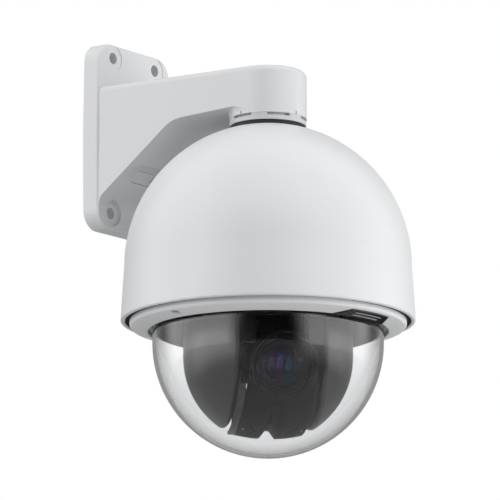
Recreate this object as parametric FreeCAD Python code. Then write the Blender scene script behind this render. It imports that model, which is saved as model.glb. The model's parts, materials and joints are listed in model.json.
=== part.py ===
"""Wall-arm PTZ speed-dome camera, built piece by piece in millimetres.

Frame: +Z up, wall behind the plate at Y = 0, arm reaching out along -Y, X across the plate.
The origin is the middle of the four wall bolts, on the plate's wall face.
Dome pieces are drawn about the dome axis with z = 0 at the housing rim, head pieces about
the tilt axis with the lens looking along -Y, and each set is then turned and moved into place.
"""
import FreeCAD, Part
import math
import os

from FreeCAD import Vector

# ---- overall layout -------------------------------------------------------------------------
DOME_Y = -141.0            # dome axis, out from the wall
RIM_Z = -154.0             # housing rim, below the middle of the wall bolts
PAN_REST = -42.0           # direction of the lens at rest, about +Z from -Y
TILT_REST = 16.0           # lens below the horizon at rest
TILT_Z = -24.1             # tilt axis below the housing rim

# ---- wall arm -------------------------------------------------------------------------------
PLATE_HALF_W = 44.5
PLATE_BULGE = 1.2
PLATE_TOP = 70.5
PLATE_BOTTOM = -73.0
PLATE_T = 14.0
PLATE_CORNER = 15.0
PLATE_EDGE = 2.0
BOLT_X = 25.5
BOLT_Z = 60.0
BOLT_HOLE_R = 4.5
SPOT_R = 10.0
SPOT_DEPTH_TOP = 0.5
SPOT_DEPTH_BOTTOM = 2.0
ARM_TOP = 35.5
ARM_HALF_W = 42.5
NOSE_R = 29.0
NOSE_BOTTOM = -1.0
ARM_WALL = 4.0
NOTCH_HALF = 0.6
NOTCH_H = 2.2
ARM_NOSE_Z = 6.2           # underside of the arm at the dome axis
ARM_KNEE = (-77.7, 1.9)    # where the underside turns down
ARM_HEEL_Z = -50.7         # where it meets the plate
KNEE_R = 25.0
HEEL_R = 12.0

# ---- neck and collar ------------------------------------------------------------------------
NECK_R = 17.0
NECK_BORE = 13.0
COLLAR_R = 28.6
COLLAR_TABS = 6

# ---- dome housing ---------------------------------------------------------------------------
DOME_R = 106.4
DOME_CENTRE = 42.0
RIM_R = 109.0
HOUSING_WALL = 3.0
RING_R = 102.4
RING_TOP = -3.8
OPENING_R = 88.4
OPENING_Z = -7.8
BUBBLE_R = 85.4
BUBBLE_Z = -15.4
BUBBLE_WALL = 2.5
LINER_R = 82.2
LINER_Z = -10.0

# ---- pan and tilt drive ---------------------------------------------------------------------
CHASSIS_Z = 28.0
CHASSIS_T = 3.0
CHASSIS_TOP = CHASSIS_Z + CHASSIS_T
PAN_MODULE = 1.0
PAN_TEETH = 96
PAN_PINION_TEETH = 16
TILT_MODULE = 0.8
TILT_TEETH = 50
TILT_PINION_TEETH = 16
SHAFT_PLAY = 0.05
HEAD_R = 62.5
COVER_R = 62.6
COVER_DROP = 2.5           # centre of the covers' round below the tilt axis
COVER_EDGE = 3.0
HOOD_R = 24.7

# ---- access cover under the arm sizes --------------------------------------------------------
ACCESS_TOP = 44.8          # down the slope from the knee
ACCESS_RUNOUT = 64.0
ACCESS_HALF_W = 37.0
ACCESS_CORNER = 15.0
ACCESS_DEPTH = 4.0
COVER_TOP = 52.0
COVER_BOTTOM = 62.4
COVER_HALF_W = 23.0
COVER_T = 2.0
COVER_GAP = 0.3
ACCESS_SCREW_R = 1.5

# ---- neck and collar sizes -------------------------------------------------------------------
NOSE_Z = NOSE_BOTTOM - RIM_Z
DOME_FLAT = 145.1
COLLAR_LOW = 147.7
COLLAR_MID = 150.9

# ---- dome housing sizes ----------------------------------------------------------------------
POST_R = 4.6
POST_ORBIT = 96.2
CHASSIS_POST_ORBIT = 85.7
BUBBLE_FLANGE_R = 91.0
RING_BACK = -1.2
SCREW_SEAT = -2.9
SCREW_TURN = -97.0         # first of the four trim screws, about +Z from -Y
CHASSIS_TURN = -52.0

# ---- fixed machinery inside the housing sizes ------------------------------------------------
PAN_ORBIT = PAN_MODULE * (PAN_TEETH + PAN_PINION_TEETH) / 2
FAN_X = -52.0
BOARD_Z = 62.0
BEARING_OUTER = 26.0
BEARING_INNER = 18.0
BALL_ORBIT = 22.0
BALL_R = 1.5

# ---- pan unit: turntable and bearing sizes ---------------------------------------------------
TABLE_Z = 14.0
TABLE_T = 3.0
TABLE_R = 60.0
HUB_TOP = 36.0
COVER_POST = (50.0, 26.0)
AXIS_DROP = TABLE_Z - TILT_Z       # from the turntable's underside down to the tilt axis

# ---- pan unit: yoke and covers sizes ---------------------------------------------------------
YOKE_IN = 26.5
YOKE_OUT = 29.5
COVER_IN = 30.0
COVER_WALL = 2.5
SIDE_WALL = 31.5
BEZEL_FRONT = 53.8
SLOT_HALF = 20.0
TILT_ORBIT = TILT_MODULE * (TILT_TEETH + TILT_PINION_TEETH) / 2
MOTOR_POST = 13.0
MOTOR_FACE = 37.5
TRUNNION_R = 4.0
TILT_BEARING_R = 8.0

# ---- tilting head sizes ----------------------------------------------------------------------
HEAD_HALF = 25.0
HEAD_WALL = 3.0
CHEEK_IN = 22.5
HEAD_REACH = 30.0
HEAD_ACROSS_R = 111.0      # curve of the head across its width
SEAM_ANGLE = -28.5
GROOVE_ANGLE = -31.5
GROOVE_HALF = 8.8
GROOVE_FLOOR_HALF = 2.6
GROOVE_FLOOR = 56.6
CHEEK_SCREW_ORBIT = 53.4
CHEEK_SCREW_R = 1.2
CHEEK_BOSS_R = 5.2
CHEEK_HEAD_R = 2.3
RIM_SCREW_X = 20.4
RIM_SCREW_ANGLE = 59.0
RIM_SCREW_HEAD_R = 1.7
BARREL_R = 19.4
BARREL_BORE = 17.0
ROD_ORBIT = 15.2
ROD_R = 1.0
CELL_R = BARREL_BORE - SHAFT_PLAY
GLASS_R = 18.7
PUPIL_R = 8.9
BLOCK_HALF = 18.0
BLOCK_BACK = 28.0


# ---- helpers --------------------------------------------------------------------------------
def cylinder(radius, bottom, top, x=0.0, y=0.0):
    """Upright cylinder between two heights."""
    return Part.makeCylinder(radius, top - bottom, Vector(x, y, bottom))


def ring(outer, inner, bottom, top, x=0.0, y=0.0):
    """Upright tube between two heights."""
    return cylinder(outer, bottom, top, x, y).cut(cylinder(inner, bottom - 1, top + 1, x, y))


def box(x0, x1, y0, y1, z0, z1):
    """Box between two corners."""
    return Part.makeBox(x1 - x0, y1 - y0, z1 - z0, Vector(x0, y0, z0))


def centred(half_x, y0, y1, z0, z1):
    """Box centred across X."""
    return box(-half_x, half_x, y0, y1, z0, z1)


def lying(radius, start, end, y=0.0, z=0.0):
    """Cylinder along X."""
    return Part.makeCylinder(radius, end - start, Vector(start, y, z), Vector(1, 0, 0))


def pointing(radius, start, end, x=0.0, z=0.0):
    """Cylinder towards -Y, between two distances in front of the axis."""
    return Part.makeCylinder(radius, end - start, Vector(x, -start, z), Vector(0, -1, 0))


def sphere(radius, z=0.0):
    return Part.makeSphere(radius, Vector(0, 0, z))


def fuse(shapes):
    """One clean solid from several that touch."""
    result = shapes[0]
    for other in shapes[1:]:
        result = result.fuse(other)
    return result.removeSplitter()


def cut(shape, tools):
    for tool in tools:
        shape = shape.cut(tool)
    return shape


def moved(shape, x=0.0, y=0.0, z=0.0):
    copy = shape.copy()
    copy.translate(Vector(x, y, z))
    return copy


def turned(shape, angle, axis=Vector(0, 0, 1), centre=Vector(0, 0, 0)):
    copy = shape.copy()
    copy.rotate(centre, axis, angle)
    return copy


def around(shape, count, first=0.0):
    """Copies of a shape spread evenly about the Z axis."""
    return [turned(shape, first + 360.0 * i / count) for i in range(count)]


def rounded_path(points, radii):
    """Closed outline in 2D: straight runs whose corners are arcs of the given radii."""
    count = len(points)
    runs = []
    for i in range(count):
        corner = Vector(points[i][0], points[i][1], 0)
        before = (Vector(points[i - 1][0], points[i - 1][1], 0) - corner).normalize()
        following = points[(i + 1) % count]
        after = (Vector(following[0], following[1], 0) - corner).normalize()
        if not radii[i]:
            runs.append((corner, corner, corner))
            continue
        half = before.getAngle(after) / 2
        middle = (before + after).normalize()
        reach = radii[i] / math.tan(half)
        centre = corner + middle * (radii[i] / math.sin(half))
        runs.append((corner + before * reach, centre - middle * radii[i], corner + after * reach))
    edges = []
    for i in range(count):
        start, through, end = runs[i]
        if radii[i]:
            edges.append(Part.Arc(start, through, end).toShape())
        following = runs[(i + 1) % count][0]
        if end.distanceToPoint(following) > 1e-6:
            edges.append(Part.LineSegment(end, following).toShape())
    return Part.Wire(edges)


def extruded(wire, depth):
    return Part.Face(wire).extrude(Vector(0, 0, depth))


def from_side(shape):
    """Turn an outline drawn as (y, z) and extruded along z so that it runs along X."""
    return turned(shape, 120, Vector(1, 1, 1))


def from_front(shape):
    """Turn an outline drawn as (x, z) and extruded along z so that it runs towards -Y."""
    return turned(shape, 90, Vector(1, 0, 0))


def spun(points, radii=None):
    """Solid of revolution about Z from (r, z) corners, some of them rounded."""
    flat = rounded_path(points, radii or [0] * len(points))
    wire = turned(flat, 90, Vector(1, 0, 0))
    return Part.Face(wire).revolve(Vector(0, 0, 0), Vector(0, 0, 1), 360)


def gear(module, teeth, bottom, top, bore, backlash=0.2):
    """Spur gear about Z with involute flanks; one tooth is centred on +X."""
    pitch = module * teeth / 2.0
    base = pitch * math.cos(math.radians(20))
    root = pitch - 1.25 * module
    tip = pitch + module
    half_tooth = (math.pi * module / 2 - backlash) / (2 * pitch)
    flank_at_pitch = math.tan(math.radians(20)) - math.radians(20)

    def half_angle(radius):
        pressure = math.acos(min(1.0, base / radius))
        return half_tooth + flank_at_pitch - (math.tan(pressure) - pressure)

    start = max(root, base)
    steps = 5
    flank = [start + (tip - start) * i / (steps - 1) for i in range(steps)]
    points = []
    for tooth in range(teeth):
        middle = 2 * math.pi * tooth / teeth
        profile = [(root, half_angle(start))] if root < base else []
        profile += [(radius, half_angle(radius)) for radius in flank]
        corners = [(radius, middle - angle) for radius, angle in profile]
        corners += [(radius, middle + angle) for radius, angle in reversed(profile)]
        for radius, angle in corners:
            points.append(Vector(radius * math.cos(angle), radius * math.sin(angle), bottom))
    points.append(points[0])
    body = Part.Face(Part.makePolygon(points)).extrude(Vector(0, 0, top - bottom))
    return body.cut(cylinder(bore, bottom - 1, top + 1))


def screw(shank_r, head_r, length, head=2.0, socket=1.2):
    """Cap screw hanging below z = 0 with its head above."""
    hexagon = Part.makePolygon(
        [Vector(socket * math.cos(math.radians(a)), socket * math.sin(math.radians(a)), head * 0.4)
         for a in range(0, 361, 60)])
    recess = Part.Face(hexagon).extrude(Vector(0, 0, head))
    return cylinder(shank_r, -length, 0).fuse(cylinder(head_r, 0, head)).cut(recess)


def polar(radius, angle, z=0.0):
    """Point at a radius, angle measured from -Y towards +X."""
    turn = math.radians(angle)
    return Vector(radius * math.sin(turn), -radius * math.cos(turn), z)


# ---- wall arm -------------------------------------------------------------------------------
def slope_angle():
    return math.degrees(math.atan2(ARM_KNEE[1] - ARM_HEEL_Z, -PLATE_T - ARM_KNEE[0]))


def on_slope(shape):
    """Place a piece drawn with x across, y down the arm's sloping underside and z into the arm."""
    return moved(turned(shape, -slope_angle(), Vector(1, 0, 0)), 0, ARM_KNEE[0], ARM_KNEE[1])


def arm_plan(inset, wall_y):
    """Plan of the arm: round nose about the dome axis, sides flaring to the plate."""
    nose = NOSE_R - inset
    half = ARM_HALF_W - inset
    reach = -PLATE_T - DOME_Y
    lean = math.atan2(half, reach) - math.asin(nose / math.hypot(half, reach))
    apex = DOME_Y - nose / math.sin(lean)
    wide = (wall_y - apex) * math.tan(lean)
    return rounded_path([(wide, wall_y), (-wide, wall_y), (0, apex)], [0, 0, nose])


def arm_side():
    """Side profile of the arm: level, then sloping down into the plate."""
    far = DOME_Y - 2 * NOSE_R
    fall = (ARM_NOSE_Z - ARM_KNEE[1]) / (DOME_Y - ARM_KNEE[0])
    far_z = ARM_KNEE[1] + fall * (far - ARM_KNEE[0])
    foot = ARM_HEEL_Z - HEEL_R
    back = -PLATE_T / 2
    points = [(back, ARM_TOP), (far, ARM_TOP), (far, far_z), ARM_KNEE, (-PLATE_T, ARM_HEEL_Z),
              (-PLATE_T, foot), (back, foot)]
    return rounded_path(points, [0, 0, 0, KNEE_R, HEEL_R, 0, 0])


def nose_blend():
    """Concave flare from the nose boss out to the underside of the arm."""
    blend = 5.0
    low = ARM_NOSE_Z - blend
    wide = NOSE_R + blend
    edges = [
        Part.LineSegment(Vector(NOSE_R - 2, 0, low), Vector(NOSE_R, 0, low)).toShape(),
        Part.Arc(Vector(NOSE_R, 0, low),
                 Vector(wide - blend * math.cos(math.pi / 4), 0, low + blend * math.sin(math.pi / 4)),
                 Vector(wide, 0, ARM_NOSE_Z)).toShape(),
        Part.LineSegment(Vector(wide, 0, ARM_NOSE_Z), Vector(NOSE_R - 2, 0, ARM_NOSE_Z)).toShape(),
        Part.LineSegment(Vector(NOSE_R - 2, 0, ARM_NOSE_Z), Vector(NOSE_R - 2, 0, low)).toShape(),
    ]
    flare = Part.Face(Part.Wire(edges)).revolve(Vector(0, 0, 0), Vector(0, 0, 1), 360)
    return moved(flare, 0, DOME_Y, 0)


def wall_plate():
    """Bolt-down plate with bulging sides, rounded corners and softened front edges."""
    middle = (PLATE_TOP + PLATE_BOTTOM) / 2
    points = [(PLATE_HALF_W - PLATE_BULGE, PLATE_TOP), (-PLATE_HALF_W + PLATE_BULGE, PLATE_TOP),
              (-PLATE_HALF_W, middle), (-PLATE_HALF_W + PLATE_BULGE, PLATE_BOTTOM),
              (PLATE_HALF_W - PLATE_BULGE, PLATE_BOTTOM), (PLATE_HALF_W, middle)]
    side_r = PLATE_CORNER * 60
    radii = [PLATE_CORNER, PLATE_CORNER, side_r, PLATE_CORNER, PLATE_CORNER, side_r]
    plate = from_front(extruded(rounded_path(points, radii), PLATE_T))
    front = [edge for edge in plate.Edges if edge.BoundBox.YMax < -PLATE_T + 0.01]
    return plate.makeFillet(PLATE_EDGE, front)


def arm_cavity():
    """Cable way from the back of the plate to the nose bore."""
    far = DOME_Y - 2 * NOSE_R
    floor = 10.0
    floor_wall = 7.0
    slope = math.radians(slope_angle())
    lift = floor_wall / math.cos(slope)
    turn_y = ARM_KNEE[0] + (ARM_KNEE[1] + lift - floor) / math.tan(slope)
    outlet = -40.0
    outlet_y = ARM_KNEE[0] + (ARM_KNEE[1] + lift - outlet) / math.tan(slope)
    roof = ARM_TOP - ARM_WALL
    side = rounded_path([(1, roof), (far, roof), (far, floor), (turn_y, floor), (outlet_y, outlet),
                         (1, outlet)], [0, 0, 0, KNEE_R / 2, 6, 0])
    walls = moved(extruded(arm_plan(ARM_WALL, 1.0), 2 * ARM_TOP + 60), 0, 0, -80)
    across = moved(from_side(extruded(side, 3 * ARM_HALF_W)), -1.5 * ARM_HALF_W)
    return walls.common(across)


def wall_arm():
    walls = moved(extruded(arm_plan(0, -PLATE_T / 2), 2 * ARM_TOP + 60), 0, 0, -80)
    across = moved(from_side(extruded(arm_side(), 3 * ARM_HALF_W)), -1.5 * ARM_HALF_W)
    arm = walls.common(across)
    boss = cylinder(NOSE_R, NOSE_BOTTOM, ARM_TOP - 1, 0, DOME_Y)
    arm = fuse([arm, boss, nose_blend().common(walls)])
    top = [edge for edge in arm.Edges
           if edge.BoundBox.ZMin > ARM_TOP - 0.01 and edge.BoundBox.YMin < -PLATE_T]
    arm = arm.makeFillet(5.0, top)
    body = fuse([arm, wall_plate()])
    holes = []
    for x in (-BOLT_X, BOLT_X):
        for z, depth in ((BOLT_Z, SPOT_DEPTH_TOP), (-BOLT_Z, SPOT_DEPTH_BOTTOM)):
            holes.append(pointing(BOLT_HOLE_R, -1, PLATE_T + 1, x, z))
            holes.append(pointing(SPOT_R, PLATE_T - depth, 3 * PLATE_T, x, z))
    holes.append(arm_cavity())
    holes.append(cylinder(NECK_R, NOSE_BOTTOM - 1, 20, 0, DOME_Y))
    notch = centred(NOTCH_HALF, -NOSE_R - 1, -NOSE_R + 1, NOSE_BOTTOM - 1, NOSE_BOTTOM + NOTCH_H)
    for one in around(notch, 4, SCREW_TURN):
        holes.append(moved(one, 0, DOME_Y))
    body = cut(body, holes + [access_pocket(), access_rebate(), access_thread()] + access_windows())
    return body.removeSplitter()


# ---- access cover under the arm -------------------------------------------------------------
def slope_panel(half_w, top, bottom, corner, depth):
    points = [(-half_w, top), (half_w, top), (half_w, bottom), (-half_w, bottom)]
    return extruded(rounded_path(points, [corner] * 4), depth)


def on_recess(shape):
    """Place a piece drawn like on_slope, but with z = 0 on the recess's sloping floor."""
    fall = math.degrees(math.atan2(ACCESS_DEPTH, ACCESS_RUNOUT - ACCESS_TOP))
    return on_slope(turned(shape, -fall, Vector(1, 0, 0), Vector(0, ACCESS_RUNOUT, 0)))


def access_pocket():
    """Recess with a round-cornered top wall, whose floor runs out into the slope."""
    above = 20.0
    far = ACCESS_RUNOUT + above
    mouth = slope_panel(ACCESS_HALF_W, ACCESS_TOP, far, ACCESS_CORNER, above + ACCESS_DEPTH)
    side = [(ACCESS_TOP, -above), (ACCESS_RUNOUT, -above), (ACCESS_RUNOUT, 0), (ACCESS_TOP, ACCESS_DEPTH)]
    wedge = moved(from_side(extruded(rounded_path(side, [0] * 4), 2 * ACCESS_HALF_W)), -ACCESS_HALF_W)
    return on_slope(moved(mouth, 0, 0, -above).common(wedge))


def access_rebate():
    """Seat that holds the cover flush with the recess floor."""
    top = COVER_TOP - COVER_GAP
    bottom = COVER_BOTTOM + COVER_GAP
    above = 9.0
    seat = slope_panel(COVER_HALF_W + COVER_GAP, top, bottom, 2.0, COVER_T + above)
    return on_recess(moved(seat, 0, 0, -above))


def access_windows():
    """Two openings under the cover, one each side of its screw."""
    window = extruded(rounded_path([(6, 54), (20, 54), (20, 60.4), (6, 60.4)], [2.0] * 4), 14.0)
    return [on_recess(moved(window, x, 0, COVER_T - 1)) for x in (0, -26.0)]


def access_screw_y():
    return (COVER_TOP + COVER_BOTTOM) / 2


def access_thread():
    return on_recess(cylinder(ACCESS_SCREW_R, 0, 14.0, 0, access_screw_y()))


def access_cover():
    lid = slope_panel(COVER_HALF_W, COVER_TOP, COVER_BOTTOM, 1.8, COVER_T)
    lid = lid.makeChamfer(0.4, [edge for edge in lid.Edges if edge.BoundBox.ZMax < 0.01])
    lid = lid.cut(cylinder(ACCESS_SCREW_R, -1, COVER_T + 1, 0, access_screw_y()))
    return on_recess(lid)


def access_screw():
    fixing = turned(screw(ACCESS_SCREW_R, 2.8, 6.0, 1.4, 1.1), 180, Vector(1, 0, 0))
    return on_recess(moved(fixing, 0, access_screw_y()))


# ---- neck and collar (drawn in the dome frame) ----------------------------------------------
def neck_tube():
    bottom = 116.0
    top = NOSE_Z + 23
    return ring(NECK_R, NECK_BORE, bottom, top)


def neck_locknuts():
    hexagon = Part.makePolygon([polar(25.0, angle) for angle in range(0, 361, 60)])
    nut = Part.Face(hexagon).extrude(Vector(0, 0, 6))
    nut = nut.common(cylinder(24.0, 0, 6)).cut(cylinder(NECK_R, -1, 7))
    return [moved(nut, 0, 0, 10.0 - RIM_Z), moved(nut, 0, 0, 121.0)]


def sector(outer, inner, width, bottom, top):
    """Piece of a ring that spans an angle, centred on -Y."""
    half = math.radians(width / 2)
    reach = 3 * outer
    wedge = Part.makePolygon([Vector(0, 0, bottom), Vector(-reach * math.tan(half), -reach, bottom),
                              Vector(reach * math.tan(half), -reach, bottom), Vector(0, 0, bottom)])
    return ring(outer, inner, bottom, top).common(Part.Face(wedge).extrude(Vector(0, 0, top - bottom)))


def collar_ring():
    tabs = around(sector(COLLAR_R, NECK_R + 4, 24, COLLAR_MID - 0.5, NOSE_Z), COLLAR_TABS, -66.5)
    base = ring(COLLAR_R, NECK_R, COLLAR_LOW, COLLAR_MID)
    inner = ring(COLLAR_R - 3, NECK_R, COLLAR_MID - 0.5, NOSE_Z)
    return fuse([base, inner] + tabs)


def neck_seal():
    return ring(COLLAR_R - 0.9, NECK_R, DOME_FLAT, COLLAR_LOW)


# ---- dome housing (dome frame) --------------------------------------------------------------
def housing_solid(inset):
    """Ball on a slightly tapered skirt."""
    radius = DOME_R - inset
    rim = RIM_R - inset
    skirt = Part.makeCone(rim, radius, DOME_CENTRE + 0.5 * inset, Vector(0, 0, -0.5 * inset))
    ball = sphere(radius, DOME_CENTRE).common(cylinder(2 * radius, DOME_CENTRE, 3 * radius))
    return skirt.fuse(ball)


def upper_housing():
    outer = housing_solid(0)
    rim = [edge for edge in outer.Edges if edge.BoundBox.ZMax < 0.1 and edge.Length > 300]
    outer = outer.makeFillet(1.2, rim)
    outer = outer.cut(cylinder(60, DOME_FLAT, DOME_FLAT + 20))
    inner = housing_solid(HOUSING_WALL)
    shell = outer.cut(inner)
    posts = around(cylinder(POST_R, RING_BACK + 1.2, DOME_FLAT, 0, -POST_ORBIT), 4, SCREW_TURN)
    tall = cylinder(POST_R, CHASSIS_TOP, DOME_FLAT, 0, -CHASSIS_POST_ORBIT)
    posts += around(tall, 4, CHASSIS_TURN)
    posts = [post.common(housing_solid(1.0)) for post in posts]
    boss = cylinder(27.0, 127.0, DOME_FLAT).common(outer)
    body = fuse([shell, boss] + posts)
    bores = around(cylinder(1.9, -5, 14, 0, -POST_ORBIT), 4, SCREW_TURN)
    bores += around(cylinder(1.9, 0, CHASSIS_TOP + 12, 0, -CHASSIS_POST_ORBIT), 4, CHASSIS_TURN)
    return cut(body, bores + [cylinder(NECK_R, 100, 160)])


def trim_ring():
    """Conical trim round the opening, holding the bubble's flange on its back."""
    ledge = 86.0
    lip = RING_R - 2.5
    points = [(OPENING_R, OPENING_Z), (RING_R, RING_TOP), (RING_R, 2.0), (lip, 2.0), (lip, RING_BACK),
              (ledge, RING_BACK), (ledge, RING_BACK - 2.0), (OPENING_R, RING_BACK - 3.4)]
    body = spun(points, [0.8, 2.6, 0.4, 0, 0, 0, 0, 0])
    bores = around(cylinder(1.95, -20, 20, 0, -POST_ORBIT), 4, SCREW_TURN)
    seats = around(cylinder(3.6, -20, SCREW_SEAT, 0, -POST_ORBIT), 4, SCREW_TURN)
    clear = around(cylinder(POST_R + 0.3, RING_BACK, 20, 0, -POST_ORBIT), 4, SCREW_TURN)
    return cut(body, bores + seats + clear)


def trim_screws():
    fixing = turned(screw(1.9, 3.3, 12.0, 1.8, 1.3), 180, Vector(1, 0, 0))
    return around(moved(fixing, 0, -POST_ORBIT, SCREW_SEAT), 4, SCREW_TURN)


def badge_plate():
    """Plain name plate lying on the cone of the trim ring."""
    inner = 89.6
    outer = 99.4
    fall = (RING_TOP - OPENING_Z) / (RING_R - OPENING_R)
    z_in = OPENING_Z + fall * (inner - OPENING_R)
    z_out = OPENING_Z + fall * (outer - OPENING_R)
    band = spun([(inner, z_in - 0.9), (outer, z_out - 0.9), (outer, z_out), (inner, z_in)])
    corners = [polar(inner - 2, -23.5, -20), polar(inner - 2, 15.6, -20), polar(outer + 2, 7.5, -20),
               polar(outer + 2, -14.2, -20), polar(inner - 2, -23.5, -20)]
    return band.common(Part.Face(Part.makePolygon(corners)).extrude(Vector(0, 0, 40)))


def bubble():
    outer = sphere(BUBBLE_R, BUBBLE_Z).common(cylinder(200, -200, BUBBLE_Z))
    outer = outer.fuse(cylinder(BUBBLE_R, BUBBLE_Z, RING_BACK + BUBBLE_WALL))
    inner_r = BUBBLE_R - BUBBLE_WALL
    inner = sphere(inner_r, BUBBLE_Z).common(cylinder(200, -200, BUBBLE_Z))
    inner = inner.fuse(cylinder(inner_r, BUBBLE_Z, 50))
    flange = ring(BUBBLE_FLANGE_R, BUBBLE_R - 1, RING_BACK, RING_BACK + BUBBLE_WALL)
    return fuse([outer.cut(inner), flange])


def bubble_gasket():
    return ring(BUBBLE_FLANGE_R, 87.0, RING_BACK + BUBBLE_WALL, RING_BACK + BUBBLE_WALL + 1.2)


def bubble_clamp():
    low = RING_BACK + BUBBLE_WALL + 1.2
    return spun([(86.0, low), (BUBBLE_FLANGE_R, low), (BUBBLE_FLANGE_R, low + 2.5), (86.0, low + 2.5)],
                [0, 0, 0.6, 0.6])


def rim_gasket():
    return ring(105.4, RING_R, 0.6, 3.2)


# ---- fixed machinery inside the housing (dome frame) ----------------------------------------
def drive_chassis():
    plate = cylinder(90.0, CHASSIS_Z, CHASSIS_TOP)
    rib = ring(88.0, 85.5, CHASSIS_TOP, CHASSIS_TOP + 4)
    gap = cylinder(POST_R + 1.5, CHASSIS_TOP, 60, 0, -CHASSIS_POST_ORBIT)
    clear = around(gap, 4, CHASSIS_TURN)
    plate = plate.fuse(cut(rib, clear))
    holes = [cylinder(BEARING_OUTER, 0, 60), cylinder(10.5, 0, 60, PAN_ORBIT, 0)]
    holes.append(cylinder(18.0, 0, 60, FAN_X, 0))
    holes += around(cylinder(2.0, 0, 60, 0, -CHASSIS_POST_ORBIT), 4, CHASSIS_TURN)
    return cut(plate, holes)


def chassis_screws():
    fixing = turned(screw(1.9, 3.1, 13.0, 2.2, 1.3), 180, Vector(1, 0, 0))
    return around(moved(fixing, 0, -CHASSIS_POST_ORBIT, CHASSIS_Z), 4, CHASSIS_TURN)


def inner_liner():
    """Black sleeve that hides the drive behind the clear bubble."""
    top = CHASSIS_Z
    return spun([(LINER_R - 2, LINER_Z), (LINER_R, LINER_Z), (LINER_R, top), (72.0, top), (72.0, top - 2),
                 (LINER_R - 2, top - 2)], [0.8, 0.8, 1.0, 0, 0, 1.0])


def board_standoffs():
    return around(ring(3.0, 1.25, CHASSIS_TOP, BOARD_Z, 0, -42.0), 4, 45)


def interface_board():
    board = cylinder(60.0, BOARD_Z, BOARD_Z + 1.6)
    return cut(board, [cylinder(6.0, 0, 99)] + around(cylinder(1.6, 0, 99, 0, -42.0), 4, 45))


def terminal_blocks():
    """Three plug-in terminal blocks with their wire entries and screw wells."""
    blocks = []
    for turn in (-30, 90, 210):
        block = centred(18.0, -52.0, -40.0, BOARD_Z + 1.6, BOARD_Z + 12.0)
        for way in range(6):
            x = -15.0 + 6.0 * way
            block = block.cut(cylinder(1.8, BOARD_Z + 8.0, BOARD_Z + 20, x, -44.0))
            block = block.cut(box(x - 1.8, x + 1.8, -53, -48, BOARD_Z + 4.0, BOARD_Z + 8.0))
        blocks.append(turned(block, turn))
    return blocks


def slip_ring_stator():
    return ring(14.0, 8.0 + SHAFT_PLAY, 40.0, BOARD_Z)


def pan_motor():
    """Stepper motor standing on the chassis, with its mounting ears."""
    low = CHASSIS_TOP
    can = cylinder(17.0, low, low + 26.0)
    can = can.makeFillet(1.5, [edge for edge in can.Edges if edge.BoundBox.ZMin > low + 20])
    ears = box(-25.0, 25.0, -5.0, 5.0, low, low + 2.0)
    ears = ears.makeFillet(4.9, [edge for edge in ears.Edges if edge.Length < 2.1])
    motor = fuse([can, ears])
    motor = cut(motor, [cylinder(2.5 + SHAFT_PLAY, low - 1, low + 14.0)])
    return moved(turned(motor, 90), PAN_ORBIT, 0)


def pan_bearing_outer():
    low = CHASSIS_Z - 1
    return ring(BEARING_OUTER, BALL_ORBIT + 0.9, low, low + 6).cut(
        Part.makeTorus(BALL_ORBIT, BALL_R + 0.04, Vector(0, 0, low + 3)))


def pan_bearing_balls():
    ball = Part.makeSphere(BALL_R, Vector(0, -BALL_ORBIT, CHASSIS_Z + 2))
    return around(ball, 24)


def fan_frame():
    """Square fan housing with its struts and centre pin."""
    low = CHASSIS_TOP
    frame = centred(20.0, -20.0, 20.0, low, low + 10.0)
    frame = frame.makeFillet(3.0, [edge for edge in frame.Edges if edge.BoundBox.ZLength > 9])
    frame = frame.cut(cylinder(18.5, 0, 99))
    struts = around(box(-1.2, 1.2, -19.0, 0.0, low, low + 1.2), 3)
    frame = fuse([frame, cylinder(7.0, low, low + 1.2), cylinder(1.5, low, low + 7.0)] + struts)
    corners = around(cylinder(1.7, 0, 99, 16.0, 16.0), 4)
    return moved(cut(frame, corners), FAN_X, 0)


def fan_rotor():
    """Seven-bladed impeller on the fan's centre pin."""
    low = CHASSIS_TOP + 1.6
    hub = cylinder(7.5, low, low + 7.5)
    blade = turned(box(6.5, 17.8, -0.6, 0.6, -3.6, 3.6), 32, Vector(1, 0, 0))
    blade = moved(blade, 0, 0, low + 3.75)
    rotor = fuse([hub] + around(blade, 7)).common(cylinder(17.9, low, low + 7.5))
    return moved(rotor.cut(cylinder(1.5 + SHAFT_PLAY, low - 1, low + 5.8)), FAN_X, 0)


def heater():
    """Finned heater block."""
    low = CHASSIS_TOP
    block = centred(20.0, 44.0, 66.0, low, low + 5.0)
    fins = [box(x, x + 1.6, 44.0, 66.0, low + 4.0, low + 16.0) for x in range(-20, 19, 5)]
    return fuse([block] + fins)


# ---- pan unit: turntable and bearing (dome frame) -------------------------------------------
def cover_post_places():
    x, y = COVER_POST
    return [(x, y), (x, -y), (-x, y), (-x, -y)]


def pan_turntable():
    disc = cylinder(TABLE_R, TABLE_Z, TABLE_Z + TABLE_T)
    hub = cylinder(BEARING_INNER, TABLE_Z + TABLE_T, HUB_TOP)
    shoulder = cylinder(24.0, TABLE_Z + TABLE_T, TABLE_Z + 5)
    body = fuse([disc, shoulder, hub])
    holes = [cylinder(10.0, 0, 60)]
    holes += [cylinder(1.5, 0, 60, x, y) for x, y in cover_post_places()]
    holes += around(cylinder(7.0, 0, 18, 0, -38.0), 6, 30)
    return cut(body, holes)


def pan_gear():
    low = TABLE_Z + 5
    return turned(gear(PAN_MODULE, PAN_TEETH, low, low + 5, BEARING_INNER), -PAN_REST)


def pan_bearing_inner():
    low = CHASSIS_Z - 1
    race = ring(BALL_ORBIT - 0.9, BEARING_INNER, low, low + 6)
    return race.cut(Part.makeTorus(BALL_ORBIT, BALL_R + 0.04, Vector(0, 0, low + 3)))


def slip_ring_rotor():
    drum = fuse([cylinder(13.0, HUB_TOP, HUB_TOP + 2), cylinder(8.0, HUB_TOP, BOARD_Z - 2)])
    return drum.cut(cylinder(4.0, 0, 99))


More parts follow.
